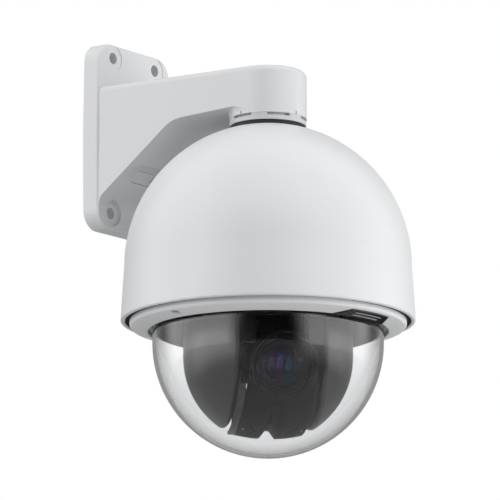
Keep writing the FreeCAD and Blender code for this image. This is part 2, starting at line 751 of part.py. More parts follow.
def pan_pinion():
    """Motor shaft with its pinion cut on the lower end."""
    low = TABLE_Z + 5.2
    shaft = cylinder(2.5, low, CHASSIS_TOP + 13)
    teeth = gear(PAN_MODULE, PAN_PINION_TEETH, low, low + 5.6, 2.0)
    half_pitch = 180.0 / PAN_PINION_TEETH
    return moved(turned(fuse([teeth, shaft]), half_pitch), PAN_ORBIT, 0)


# ---- pan unit: yoke and covers (drawn about the tilt axis) ----------------------------------
def yoke_frame():
    """Crossbar and two uprights, with stand-offs for the tilt motor."""
    parts = [centred(YOKE_OUT, -20.0, 20.0, AXIS_DROP - 3, AXIS_DROP)]
    for side in (-1, 1):
        inner, outer = sorted((side * YOKE_IN, side * YOKE_OUT))
        parts.append(box(inner, outer, -18.0, 18.0, 14.0, AXIS_DROP - 1))
        parts.append(box(inner, outer, -12.0, 12.0, 0.0, 16.0))
        parts.append(lying(12.0, inner, outer))
    for y in (-MOTOR_POST, MOTOR_POST):
        parts.append(lying(2.5, YOKE_OUT - 1, MOTOR_FACE, y, TILT_ORBIT))
    body = fuse(parts)
    holes = [lying(TILT_BEARING_R, -40, 40), cylinder(9.0, 20, 60), lying(3.0, 20, 34, 0, TILT_ORBIT)]
    return cut(body, holes)


def tilt_bearings():
    race = lying(TILT_BEARING_R, YOKE_IN, YOKE_OUT).cut(lying(TRUNNION_R + SHAFT_PLAY, 0, 40))
    groove = Part.makeTorus(6.2, 0.6, Vector(YOKE_OUT, 0, 0), Vector(1, 0, 0))
    race = race.cut(groove)
    return [race, turned(race, 180)]


def cover_form(radius, top):
    """Half ball with an upright cylinder above it."""
    ball = sphere(radius, -COVER_DROP).common(cylinder(99, -99, -COVER_DROP))
    return ball.fuse(cylinder(radius, -COVER_DROP, top))


def side_cover(side):
    """Moulded shell over one end of the yoke."""
    top = AXIS_DROP - 0.1
    keep = box(COVER_IN, 99, -99, 99, -99, 99)
    inside = box(SIDE_WALL, 99, -99, 99, -99, 99)
    body = cover_form(COVER_R, top).common(keep)
    edge = [e for e in body.Edges if abs(e.BoundBox.XMax - COVER_IN) < 0.01 and e.BoundBox.ZMin < -10]
    body = body.makeFillet(COVER_EDGE, edge)
    body = body.cut(cover_form(COVER_R - COVER_WALL, top + 5).common(inside))
    posts = [cylinder(4.0, 12.0, top, x, y) for x, y in cover_post_places() if x > 0]
    body = fuse([body] + posts)
    holes = [cylinder(1.5, top - 12, top + 5, x, y) for x, y in cover_post_places() if x > 0]
    holes.append(lying(9.0, 0, SIDE_WALL + 1))
    if side > 0:
        holes.append(lying(9.0, 0, SIDE_WALL + 1, 0, TILT_ORBIT))
        holes += [lying(3.2, 0, SIDE_WALL + 1, y, TILT_ORBIT) for y in (-MOTOR_POST, MOTOR_POST)]
        return cut(body, holes)
    return turned(cut(body, holes), 180)


def front_bezel():
    """Flat front strip between the covers, slotted for the lens to swing in."""
    plate = centred(COVER_IN, -BEZEL_FRONT, -BEZEL_FRONT + COVER_WALL, -1.0, AXIS_DROP - 0.1)
    return plate.cut(centred(SLOT_HALF, -99, 0, -9, AXIS_DROP - 7))


def rear_cover():
    plate = centred(COVER_IN, BEZEL_FRONT - COVER_WALL, BEZEL_FRONT, 26.0, AXIS_DROP - 0.1)
    vents = [centred(20.0, 0, 99, z, z + 1.5) for z in (28.5, 31.5, 34.5)]
    return cut(plate, vents)


def cover_screws():
    fixing = screw(1.5, 2.8, 12.0, 1.7, 1.2)
    return [moved(fixing, x, y, TABLE_Z + TABLE_T) for x, y in cover_post_places()]


def tilt_motor():
    can = lying(10.0, MOTOR_FACE + 1.5, 56.5, 0, TILT_ORBIT)
    ears = box(MOTOR_FACE, MOTOR_FACE + 1.5, -17.0, 17.0, TILT_ORBIT - 6, TILT_ORBIT + 6)
    return fuse([can, ears]).cut(lying(1.5 + SHAFT_PLAY, 30, 51, 0, TILT_ORBIT))


def across_tilt(shape, turn):
    """Lay a gear drawn about Z along the tilt axis, its marked tooth turned up from +Y."""
    lying_down = turned(shape, 120, Vector(1, 1, 1))
    return turned(lying_down, turn, Vector(1, 0, 0))


def tilt_pinion():
    shaft = cylinder(1.5, 31.0, 50.0)
    teeth = gear(TILT_MODULE, TILT_PINION_TEETH, 32.3, 36.3, 1.0, 0.16)
    piece = across_tilt(fuse([teeth, shaft]), 90 + 180.0 / TILT_PINION_TEETH)
    return moved(piece, 0, 0, TILT_ORBIT)


def control_board():
    board = box(-SIDE_WALL - 1.6, -SIDE_WALL, -28.0, 28.0, 10.0, AXIS_DROP - 3)
    chips = [box(-SIDE_WALL - 3.4, -SIDE_WALL - 1.6, y, y + 9.0, 15.0, 24.0) for y in (-20.0, 2.0)]
    return fuse([board] + chips)


# ---- tilting head (drawn about the tilt axis, lens along -Y) --------------------------------
def head_wedge(first, last, radius=99.0):
    """Slice of the head between two angles above the lens axis."""
    steps = 6
    points = [Vector(0, 0, 0)]
    for i in range(steps + 1):
        angle = math.radians(first + (last - first) * i / steps)
        points.append(Vector(0, -radius * math.cos(angle), radius * math.sin(angle)))
    points.append(points[0])
    return moved(Part.Face(Part.makePolygon(points)).extrude(Vector(99, 0, 0)), -49.5)


def head_form(inset):
    """Solid turned about the tilt axis, nearly a ball but flatter across."""
    radius = HEAD_R - inset
    edge = radius - HEAD_ACROSS_R + math.sqrt(HEAD_ACROSS_R ** 2 - HEAD_REACH ** 2)
    corners = [Vector(edge, 0, HEAD_REACH), Vector(0, 0, HEAD_REACH), Vector(0, 0, -HEAD_REACH),
               Vector(edge, 0, -HEAD_REACH)]
    outline = [Part.Arc(corners[3], Vector(radius, 0, 0), corners[0]).toShape()]
    for start, end in zip(corners[:-1], corners[1:]):
        outline.append(Part.LineSegment(start, end).toShape())
    solid = Part.Face(Part.Wire(outline)).revolve(Vector(0, 0, 0), Vector(0, 0, 1), 360)
    return turned(solid, 90, Vector(0, 1, 0))


def head_shell(first, last):
    shell = head_form(0).cut(head_form(HEAD_WALL))
    return shell.common(centred(HEAD_HALF, -99, 99, -99, 99)).common(head_wedge(first, last))


def groove():
    """V-shaped channel down the middle of the head, from below the lens round to the back."""
    outside = HEAD_R + 2
    channel = spun([(GROOVE_FLOOR, -GROOVE_FLOOR_HALF), (outside, -GROOVE_HALF),
                    (outside, GROOVE_HALF), (GROOVE_FLOOR, GROOVE_FLOOR_HALF)], [1.5, 0, 0, 1.5])
    return turned(channel, 90, Vector(0, 1, 0)).common(head_wedge(-89.5, GROOVE_ANGLE))


def channel_wall():
    """Thick strip of the lower cover that the channel is sunk into."""
    wall = sphere(HEAD_R - HEAD_WALL + 0.5).cut(sphere(GROOVE_FLOOR - 2))
    strip = wall.common(centred(GROOVE_HALF + 2, -99, 99, -99, 99))
    return strip.common(head_wedge(-89, GROOVE_ANGLE + 2))


def head_front_cover():
    upper = head_shell(0, 24).common(pointing(HOOD_R + 0.2, 0, 99))
    body = fuse([upper, head_shell(SEAM_ANGLE, 0)])
    return cut(body, [pointing(21.2, 0, 99), pointing(HOOD_R + 0.05, 58.0, 99)])


def at_head_angle(shape, angle):
    """Carry a piece drawn at the top of the head down to an angle below the lens axis."""
    return turned(shape, 90 + angle, Vector(1, 0, 0))


def louvres():
    """Slanting louvres each side of the channel."""
    tools = []
    for side in (-1, 1):
        for i in range(4):
            slot = box(-0.7, 0.7, -7.0, 7.0, HEAD_R - 1.4, HEAD_R + 3)
            slot = turned(slot, side * 38)
            slot = turned(slot, side * -7.4, Vector(0, 1, 0), Vector(0, 0, HEAD_R - HEAD_ACROSS_R))
            tools.append(at_head_angle(slot, 58 + 7.5 * i))
    return tools


def cheek_bosses(radius, start, end):
    pieces = []
    for angle in (-36.0, -74.0):
        turn = math.radians(angle)
        y = -CHEEK_SCREW_ORBIT * math.cos(turn)
        z = CHEEK_SCREW_ORBIT * math.sin(turn)
        pieces += [lying(radius, start, end, y, z), lying(radius, -end, -start, y, z)]
    return pieces


def head_lower_cover():
    gap = 0.15
    shell = head_shell(-89, SEAM_ANGLE - gap)
    bosses = [boss.common(head_form(1.0)) for boss in cheek_bosses(CHEEK_BOSS_R, 16.0, CHEEK_IN)]
    body = fuse([shell, channel_wall()] + bosses)
    body = body.common(head_wedge(-89, SEAM_ANGLE - gap))
    holes = cheek_bosses(CHEEK_SCREW_R, 18.0, 30.0) + rim_screws(CHEEK_SCREW_R, RIM_SCREW_HEAD_R)
    return cut(body, [groove()] + louvres() + holes)


def head_frame():
    """Cheek plates, barrel plate, slot shutter and trunnions."""
    inner_ball = head_form(HEAD_WALL + 0.1)
    parts = []
    for side in (-1, 1):
        inner, outer = sorted((side * CHEEK_IN, side * HEAD_HALF))
        fan = box(inner, outer, -99, 99, -99, 99).common(head_wedge(-89, SEAM_ANGLE)).common(inner_ball)
        parts += [fan, lying(22.0, inner, outer)]
    parts.append(centred(CHEEK_IN + 0.5, -10.0, -6.0, -21.0, 21.0))
    shutter = lying(49.0, -19.0, 19.0).cut(lying(47.4, -20, 20)).common(head_wedge(20, 38))
    shutter = shutter.cut(centred(6.0, -99, 0, 0, 99).common(head_wedge(31, 50)))
    webs = [box(x, x + 1.5, -48.2, -8.0, 2.0, 40.0).common(head_wedge(24, 32)) for x in (-19.0, 17.5)]
    parts += [shutter] + webs
    parts += [lying(TRUNNION_R, HEAD_HALF - 1, 38.0), lying(TRUNNION_R, -33.0, -HEAD_HALF + 1)]
    heads = cheek_bosses(CHEEK_HEAD_R, HEAD_HALF - 1.4, 30.0) + cheek_bosses(CHEEK_SCREW_R, 18.0, 30.0)
    block = centred(BLOCK_HALF, -2, BLOCK_BACK, -BLOCK_HALF, BLOCK_HALF)
    return cut(fuse(parts), [pointing(BARREL_R, -2.0, 70.0), block] + heads)


def rim_screws(shank_r, head_r):
    """Countersunk screws through the lower cover's skin, one near each edge."""
    skin = HEAD_R - HEAD_ACROSS_R + math.sqrt(HEAD_ACROSS_R ** 2 - RIM_SCREW_X ** 2)
    pieces = []
    for x in (-RIM_SCREW_X, RIM_SCREW_X):
        shank = cylinder(shank_r, skin - 5.5, skin - 1.0, x)
        head = Part.makeCone(shank_r, head_r, 1.0, Vector(x, 0, skin - 1.4))
        flat = cylinder(head_r, skin - 0.4, skin - 0.2, x)
        pieces.append(at_head_angle(fuse([shank, head, flat]), RIM_SCREW_ANGLE))
    return pieces


def head_screws():
    shanks = cheek_bosses(CHEEK_SCREW_R, 18.2, HEAD_HALF - 1.4)
    heads = cheek_bosses(CHEEK_HEAD_R, HEAD_HALF - 1.4, HEAD_HALF - 0.1)
    pieces = [fuse([shank, head]) for shank, head in zip(shanks, heads)]
    return pieces + rim_screws(CHEEK_SCREW_R, RIM_SCREW_HEAD_R)


def lens_hood():
    profile = spun([(21.0, 58.0), (HOOD_R, 58.0), (HOOD_R, 66.0), (22.6, 66.0), (21.0, 63.0)],
                   [0, 0, 0.9, 0.5, 0.5])
    return turned(profile, 90, Vector(1, 0, 0))


def lens_retainer():
    profile = spun([(17.6, 54.6), (21.0, 54.6), (21.0, 61.6), (20.2, 62.4), (19.6, 62.4), (GLASS_R, 60.0),
                    (GLASS_R, 56.0), (17.6, 56.0)])
    return turned(profile, 90, Vector(1, 0, 0))


def front_lens():
    """Domed front element, hollow behind."""
    front_curve = 45.7
    back_curve = 60.0
    dome = Part.makeSphere(front_curve, Vector(0, front_curve - 61.5, 0))
    dome = dome.common(pointing(GLASS_R, 56.0, 70.0))
    return dome.cut(Part.makeSphere(back_curve, Vector(0, back_curve - 57.6, 0)))


def lens_barrel():
    tube = pointing(BARREL_R, -2.0, 54.6).cut(pointing(BARREL_BORE, 1.0, 53.0))
    return cut(tube, [pointing(11.0, -5, 3), pointing(14.0, 50, 60), pointing(BARREL_BORE, 1.0, 52.0)])


def guide_rods():
    return [pointing(ROD_R, 1.0, 53.0, side * ROD_ORBIT) for side in (-1, 1)]


def rod_holes(radius):
    return [pointing(radius, -5, 60, side * ROD_ORBIT) for side in (-1, 1)]


def iris_ring():
    return cut(pointing(BARREL_BORE, 19.0, 20.2), [pointing(PUPIL_R, 10, 30)] + rod_holes(ROD_R))


def lens_cell(back, front):
    """Sliding cell that carries a lens along the two rods."""
    cell = pointing(CELL_R, back, front).cut(pointing(13.0, back - 1, front + 1))
    return cut(cell, rod_holes(ROD_R + SHAFT_PLAY))


def cell_lens(back, front):
    """Glass with two bulging faces, seated in its cell."""
    curve = 40.0
    rear = Part.makeSphere(curve, Vector(0, -(back + curve), 0))
    face = Part.makeSphere(curve, Vector(0, curve - front, 0))
    return pointing(13.0, back, front).common(rear).common(face).removeSplitter()


def camera_block():
    """Finned body that holds the image sensor."""
    block = centred(BLOCK_HALF, 2.0, BLOCK_BACK, -BLOCK_HALF, BLOCK_HALF)
    block = block.makeFillet(1.5, [edge for edge in block.Edges if edge.BoundBox.YLength > 20])
    slots = [box(-99, -BLOCK_HALF + 1.5, y, y + 2.0, -99, 99) for y in (8.0, 12.0, 16.0, 20.0)]
    slots += [turned(slot, 180, Vector(0, 1, 0)) for slot in slots]
    return cut(block, slots + [pointing(11.0, -12.0, 3)])


def sensor_board():
    board = centred(15.0, BLOCK_BACK, BLOCK_BACK + 1.6, -15.0, 15.0)
    return fuse([board, centred(8.0, BLOCK_BACK + 1.6, BLOCK_BACK + 3.0, -4.0, 4.0)])


def tilt_gear():
    wheel = gear(TILT_MODULE, TILT_TEETH, 32.3, 36.3, TRUNNION_R, 0.16)
    holes = around(cylinder(3.0, 0, 60, 0, -12.0), 5)
    return across_tilt(cut(wheel, holes), 90 - TILT_REST)


# ---- placing and writing --------------------------------------------------------------------
def placed(pieces, place):
    pieces = pieces if isinstance(pieces, list) else [pieces]
    return Part.makeCompound([place(piece) for piece in pieces])


def on_wall(shape):
    return shape


def on_dome(shape):
    return moved(shape, 0, DOME_Y, RIM_Z)


def on_pan(shape):
    return on_dome(turned(shape, PAN_REST))


def on_yoke(shape):
    return on_pan(moved(shape, 0, 0, TILT_Z))


def on_head(shape):
    return on_yoke(turned(shape, TILT_REST, Vector(1, 0, 0)))


FIXED_TO_WALL = {
    "wall_arm": wall_arm, "access_cover": access_cover, "access_screw": access_screw,
}
FIXED_TO_DOME = {
    "neck_tube": neck_tube, "neck_locknuts": neck_locknuts, "collar_ring": collar_ring,
    "neck_seal": neck_seal, "upper_housing": upper_housing, "trim_ring": trim_ring,
    "trim_screws": trim_screws, "badge_plate": badge_plate, "bubble": bubble,
    "bubble_gasket": bubble_gasket, "bubble_clamp": bubble_clamp, "rim_gasket": rim_gasket,
    "drive_chassis": drive_chassis, "chassis_screws": chassis_screws, "inner_liner": inner_liner,
    "board_standoffs": board_standoffs, "interface_board": interface_board,
    "terminal_blocks": terminal_blocks, "slip_ring_stator": slip_ring_stator,
    "pan_motor": pan_motor, "pan_bearing_outer": pan_bearing_outer,
    "pan_bearing_balls": pan_bearing_balls, "fan_frame": fan_frame, "fan_rotor": fan_rotor,
    "heater": heater, "pan_pinion": pan_pinion,
}
ON_PAN = {
    "pan_turntable": pan_turntable, "pan_gear": pan_gear, "pan_bearing_inner": pan_bearing_inner,
    "slip_ring_rotor": slip_ring_rotor, "cover_screws": cover_screws,
}
ON_YOKE = {
    "yoke_frame": yoke_frame, "tilt_bearings": tilt_bearings,
    "left_cover": lambda: side_cover(-1), "right_cover": lambda: side_cover(1),
    "front_bezel": front_bezel, "rear_cover": rear_cover, "tilt_motor": tilt_motor,
    "tilt_pinion": tilt_pinion, "control_board": control_board,
}
ON_HEAD = {
    "head_front_cover": head_front_cover, "head_lower_cover": head_lower_cover,
    "head_frame": head_frame, "head_screws": head_screws, "lens_hood": lens_hood,
    "lens_retainer": lens_retainer, "front_lens": front_lens, "lens_barrel": lens_barrel,
    "guide_rods": guide_rods, "iris_ring": iris_ring,
    "zoom_cell": lambda: lens_cell(29.0, 36.0), "zoom_lens": lambda: cell_lens(30.0, 35.0),
    "focus_cell": lambda: lens_cell(8.0, 13.0), "focus_lens": lambda: cell_lens(8.5, 12.5),
    "camera_block": camera_block, "sensor_board": sensor_board, "tilt_gear": tilt_gear,
}
GROUPS = [(FIXED_TO_WALL, on_wall), (FIXED_TO_DOME, on_dome), (ON_PAN, on_pan),
          (ON_YOKE, on_yoke), (ON_HEAD, on_head)]

os.makedirs("parts", exist_ok=True)
for group, place in GROUPS:
    for name, make in group.items():
        placed(make(), place).exportStep("parts/" + name + ".step")
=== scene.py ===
"""Looks of the wall-arm PTZ speed dome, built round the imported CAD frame, in metres."""
import json
import math

import bmesh
import bpy
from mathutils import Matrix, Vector


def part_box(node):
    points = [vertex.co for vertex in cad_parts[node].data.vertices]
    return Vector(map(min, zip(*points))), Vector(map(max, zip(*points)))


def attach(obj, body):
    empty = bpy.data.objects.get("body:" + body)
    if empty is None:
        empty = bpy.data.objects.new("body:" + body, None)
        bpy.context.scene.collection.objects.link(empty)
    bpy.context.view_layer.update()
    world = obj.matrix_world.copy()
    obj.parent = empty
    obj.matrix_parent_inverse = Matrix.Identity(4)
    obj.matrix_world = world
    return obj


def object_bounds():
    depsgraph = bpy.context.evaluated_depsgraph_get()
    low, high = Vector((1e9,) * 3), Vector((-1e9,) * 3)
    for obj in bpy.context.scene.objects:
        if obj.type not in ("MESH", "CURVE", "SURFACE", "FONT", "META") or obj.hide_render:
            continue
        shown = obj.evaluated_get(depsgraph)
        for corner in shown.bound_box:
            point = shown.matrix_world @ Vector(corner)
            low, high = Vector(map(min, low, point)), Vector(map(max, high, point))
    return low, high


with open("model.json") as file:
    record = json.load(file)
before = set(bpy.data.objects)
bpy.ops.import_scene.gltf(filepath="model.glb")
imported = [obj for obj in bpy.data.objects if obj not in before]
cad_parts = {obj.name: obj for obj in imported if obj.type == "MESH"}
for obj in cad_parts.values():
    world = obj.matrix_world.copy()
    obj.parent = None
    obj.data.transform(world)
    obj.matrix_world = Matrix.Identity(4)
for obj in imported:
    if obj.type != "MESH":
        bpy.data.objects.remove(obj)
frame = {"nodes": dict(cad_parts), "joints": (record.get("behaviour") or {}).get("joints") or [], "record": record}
CAD_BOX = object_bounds()
NODES = frame["nodes"]
JOINTS = {joint["name"]: joint for joint in frame["joints"]}

# ---- places taken from the frame ------------------------------------------------------------
housing_low, housing_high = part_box("upper_housing")
AXIS = Vector(((housing_low.x + housing_high.x) / 2, (housing_low.y + housing_high.y) / 2, 0))
TILT_POINT = Vector(JOINTS["tilt"]["pos_m"])
TILT_AXIS = Vector(JOINTS["tilt"]["axis"]).normalized()
LENS_AXIS = Vector(JOINTS["zoom"]["axis"]).normalized()
FRONT = (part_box("front_lens")[0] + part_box("front_lens")[1]) / 2 - TILT_POINT
FORWARD = Vector((FRONT.x, FRONT.y, 0)).normalized()
HEAD_UP = TILT_AXIS.cross(-LENS_AXIS).normalized()

# lip on the inner edge of the left side cover, measured from the tilt axis (degrees below level)
LIP_FROM, LIP_TO = 30.0, 85.0
LIP_INNER, LIP_OUTER = 0.0264, 0.0312
LIP_LOW, LIP_HIGH = 0.0590, 0.0612

# lines of the mark on the name plate, which lies on the cone of the trim ring
PLATE_INNER_R, PLATE_FALL = 0.0896, 0.2857
MARK_RADII, MARK_HALF = (0.0926, 0.0962), 0.0004
MARK_FROM, MARK_TO = -12.0, 5.0
MARK_SUNK, MARK_PROUD = 0.0002, 0.00015


# ---- camera, lights and floor ---------------------------------------------------------------
CAMERA_PLACE = Vector((-2.7570, -2.2000, -0.7943))
CAMERA_FORWARD = Vector((0.78309, 0.58958, 0.19791))
CAMERA_LENS = 341.4


def make_camera():
    data = bpy.data.cameras.new("camera")
    data.sensor_width = 36.0
    data.lens = CAMERA_LENS
    data.clip_start = 0.1
    data.clip_end = 50.0
    camera = bpy.data.objects.new("camera", data)
    bpy.context.collection.objects.link(camera)
    camera.location = CAMERA_PLACE
    camera.rotation_mode = "QUATERNION"
    camera.rotation_quaternion = CAMERA_FORWARD.to_track_quat("-Z", "Y")
    bpy.context.scene.camera = camera


def softbox(name, azimuth, elevation, distance, size, power):
    """Rectangular area light that faces the middle of the object."""
    centre = (CAD_BOX[0] + CAD_BOX[1]) / 2
    a = math.radians(azimuth)
    e = math.radians(elevation)
    back = Vector((math.sin(a) * math.cos(e), -math.cos(a) * math.cos(e), math.sin(e)))
    data = bpy.data.lights.new(name, "AREA")
    data.shape = "RECTANGLE"
    data.size, data.size_y = size
    data.energy = power
    light = bpy.data.objects.new(name, data)
    light.visible_glossy = False
    light.visible_transmission = False
    bpy.context.collection.objects.link(light)
    light.location = centre + back * distance
    light.rotation_mode = "QUATERNION"
    light.rotation_quaternion = (-back).to_track_quat("-Z", "Y")


BACKDROP = 1.0             # seen directly, or through the clear bubble
AMBIENT = 0.44             # on diffuse surfaces
SIDE_GLOW = 2.1            # mirrored from the left and the right
BACK_GLOW = 0.15           # share of it mirrored from behind the object
FRONT_GLOW = 0.03          # mirrored from the side the camera is on, and from below


def make_world():
    """White backdrop; what glossy surfaces mirror is bright at the sides and dark in front."""
    world = bpy.data.worlds.new("studio")
    world.use_nodes = True
    nodes = world.node_tree.nodes
    links = world.node_tree.links

    def smooth(source, low, high, start, end):
        node = nodes.new("ShaderNodeMapRange")
        node.interpolation_type = "SMOOTHSTEP"
        node.inputs["From Min"].default_value = low
        node.inputs["From Max"].default_value = high
        node.inputs["To Min"].default_value = start
        node.inputs["To Max"].default_value = end
        links.new(source, node.inputs["Value"])
        return node.outputs["Result"]

    def choose(factor, off, on):
        node = nodes.new("ShaderNodeMix")
        node.data_type = "FLOAT"
        links.new(factor, node.inputs["Factor"])
        for socket, value in (("A", off), ("B", on)):
            if isinstance(value, float):
                node.inputs[socket].default_value = value
            else:
                links.new(value, node.inputs[socket])
        return node.outputs["Result"]

    direction = nodes.new("ShaderNodeTexCoord").outputs["Generated"]
    parts = nodes.new("ShaderNodeSeparateXYZ")
    links.new(direction, parts.inputs["Vector"])
    facing = nodes.new("ShaderNodeVectorMath")
    facing.operation = "DOT_PRODUCT"
    facing.inputs[1].default_value = -Vector((CAMERA_FORWARD.x, CAMERA_FORWARD.y, 0)).normalized()
    links.new(direction, facing.inputs[0])
    level = smooth(facing.outputs["Value"], 0.70, 0.93, SIDE_GLOW, FRONT_GLOW)
    behind = smooth(facing.outputs["Value"], -0.65, -0.25, BACK_GLOW, 1.0)
    upward = smooth(parts.outputs["Z"], -0.50, -0.05, FRONT_GLOW, 1.0)
    for factor in (behind, upward):
        product = nodes.new("ShaderNodeMath")
        product.operation = "MULTIPLY"
        links.new(level, product.inputs[0])
        links.new(factor, product.inputs[1])
        level = product.outputs["Value"]
    mirrored = level

    path = nodes.new("ShaderNodeLightPath")
    strength = choose(path.outputs["Glossy Depth"], BACKDROP, mirrored)
    strength = choose(path.outputs["Diffuse Depth"], strength, AMBIENT)
    background = nodes["Background"]
    background.inputs["Color"].default_value = (1.0, 1.0, 1.0, 1.0)
    links.new(strength, background.inputs["Strength"])
    bpy.context.scene.world = world


def make_studio():
    bpy.context.scene.view_settings.view_transform = "Standard"
    make_world()
    softbox("left_softbox", -105, 25, 1.5, (0.5, 1.3), 9.0)
    softbox("right_softbox", 22, 4, 1.5, (0.5, 1.3), 13.0)
    softbox("top_softbox", -40, 78, 1.6, (1.2, 1.2), 3.2)

    mesh = bpy.data.meshes.new("floor")
    half = 6.0
    floor_z = -1.0
    corners = [(-half, -half, floor_z), (half, -half, floor_z), (half, half, floor_z), (-half, half, floor_z)]
    mesh.from_pydata(corners, [], [(0, 1, 2, 3)])
    floor = bpy.data.objects.new("floor", mesh)
    bpy.context.collection.objects.link(floor)
    mesh.materials.append(floor_material())
    floor.visible_glossy = False


# ---- materials ------------------------------------------------------------------------------
class Tree:
    """A material's node tree with short calls for the nodes that repeat."""

    def __init__(self, name):
        self.material = bpy.data.materials.new(name)
        self.material.use_nodes = True
        self.nodes = self.material.node_tree.nodes
        self.links = self.material.node_tree.links
        self.shader = self.nodes["Principled BSDF"]
        self.output = self.nodes["Material Output"]
        self.coords = self.nodes.new("ShaderNodeTexCoord").outputs["Object"]

    def set(self, **values):
        for key, value in values.items():
            self.shader.inputs[key.replace("_", " ")].default_value = value

    def noise(self, scale, detail=3.0, roughness=0.55, stretch=None):
        node = self.nodes.new("ShaderNodeTexNoise")
        node.inputs["Scale"].default_value = scale
        node.inputs["Detail"].default_value = detail
        node.inputs["Roughness"].default_value = roughness
        source = self.coords
        if stretch:
            mapping = self.nodes.new("ShaderNodeMapping")
            mapping.inputs["Scale"].default_value = stretch
            self.links.new(source, mapping.inputs["Vector"])
            source = mapping.outputs["Vector"]
        self.links.new(source, node.inputs["Vector"])
        return node.outputs["Fac"]

    def ramp(self, source, stops):
        node = self.nodes.new("ShaderNodeValToRGB")
        elements = node.color_ramp.elements
        while len(elements) < len(stops):
            elements.new(0.5)
        for element, (place, color) in zip(elements, stops):
            element.position = place
            element.color = (*color, 1.0) if len(color) == 3 else color
        self.links.new(source, node.inputs["Fac"])
        return node.outputs["Color"]

    def spread(self, source, low, high):
        node = self.nodes.new("ShaderNodeMapRange")
        node.inputs["To Min"].default_value = low
        node.inputs["To Max"].default_value = high
        self.links.new(source, node.inputs["Value"])
        return node.outputs["Result"]

    def bump(self, source, distance, strength=1.0, base=None):
        node = self.nodes.new("ShaderNodeBump")
        node.inputs["Distance"].default_value = distance
        node.inputs["Strength"].default_value = strength
        self.links.new(source, node.inputs["Height"])
        if base is not None:
            self.links.new(base, node.inputs["Normal"])
        return node.outputs["Normal"]

    def feed(self, socket, source):
        self.links.new(source, self.shader.inputs[socket])


def shade(color, factor):
    return tuple(min(1.0, channel * factor) for channel in color)


def varied(name, color, roughness, variation=0.03, cloud=18.0, grain=None, grain_depth=0.0, **values):
    """Base for moulded, painted and metal surfaces: cloudy colour, uneven gloss and a fine grain."""
    tree = Tree(name)
    cloudy = tree.noise(cloud, 4.0)
    stops = [(0.3, shade(color, 1 - variation)), (0.7, shade(color, 1 + variation))]
    tree.feed("Base Color", tree.ramp(cloudy, stops))
    tree.feed("Roughness", tree.spread(tree.noise(cloud * 3, 3.0), roughness * 0.88, roughness * 1.12))
    if grain:
        tree.feed("Normal", tree.bump(tree.noise(grain, 2.0), grain_depth))
    tree.set(**values)
    return tree.material


def floor_material():
    return varied("pale_floor", (0.82, 0.82, 0.82), 0.6, 0.01, 2.0, 60.0, 0.0002)


def paint(name, color, roughness=0.38, peel=900.0, depth=0.000012):
    return varied(name, color, roughness, 0.012, 14.0, peel, depth, Specular_IOR_Level=0.35)


def moulded(name, color, roughness, grain=1500.0, depth=0.00001, coat=0.0, shine=0.5):
    return varied(name, color, roughness, 0.08, 30.0, grain, depth, Coat_Weight=coat,
                  Coat_Roughness=0.3, Specular_IOR_Level=shine)


def metal(name, color, roughness, stretch=None):
    tree = Tree(name)
    streaks = tree.noise(1400.0, 3.0, stretch=stretch or (1.0, 1.0, 0.04))
    stops = [(0.3, shade(color, 0.9)), (0.7, shade(color, 1.05))]
    tree.feed("Base Color", tree.ramp(tree.noise(60.0), stops))
    tree.feed("Roughness", tree.spread(streaks, roughness * 0.8, roughness * 1.25))
    tree.feed("Normal", tree.bump(streaks, 0.00001))
    tree.set(Metallic=1.0)
    return tree.material


def along(tree, direction, half):
    """Place along a direction through the lens centre: 0 at -half, 1 at +half."""
    dot = tree.nodes.new("ShaderNodeVectorMath")
    dot.operation = "DOT_PRODUCT"
    dot.inputs[1].default_value = direction
    tree.links.new(tree.coords, dot.inputs[0])
    span = tree.nodes.new("ShaderNodeMapRange")
    centre = TILT_POINT.dot(direction)
    span.inputs["From Min"].default_value = centre - half
    span.inputs["From Max"].default_value = centre + half
    tree.links.new(dot.outputs["Value"], span.inputs["Value"])
    return span.outputs["Result"]


def paint_lens_reflection(tree):
    """Painted reflection on the lens glass: grey rim, purple on one side of a dark middle stripe and blue on the
    other, fixed on the glass as specular tint.
    """
    dark = (0.01, 0.01, 0.015)
    grey = (0.30, 0.30, 0.32)
    # painted reflection bands across the lens, set by place along the tilt axis
    reflection_bands = tree.ramp(along(tree, TILT_AXIS, 0.010), [
        (0.0, grey), (0.16, grey), (0.21, dark),
        (0.25, (0.75, 0.12, 1.0)), (0.42, (0.60, 0.10, 0.95)),
        (0.48, dark), (0.52, dark),
        (0.58, (0.08, 0.55, 0.90)), (0.75, (0.12, 0.80, 1.0)),
        (0.79, dark), (0.84, grey), (1.0, grey)])
    # the painted reflection fades dark towards the top and bottom of the lens
    reflection_fade = tree.ramp(along(tree, HEAD_UP, 0.010), [
        (0.20, (0.18, 0.18, 0.18)), (0.34, (1.0, 1.0, 1.0)),
        (0.66, (1.0, 1.0, 1.0)), (0.80, (0.10, 0.10, 0.10))])
    mix = tree.nodes.new("ShaderNodeMix")
    mix.data_type = "RGBA"
    mix.blend_type = "MULTIPLY"
    mix.inputs["Factor"].default_value = 1.0
    tree.links.new(reflection_bands, mix.inputs[6])
    tree.links.new(reflection_fade, mix.inputs[7])
    tree.feed("Specular Tint", mix.outputs[2])


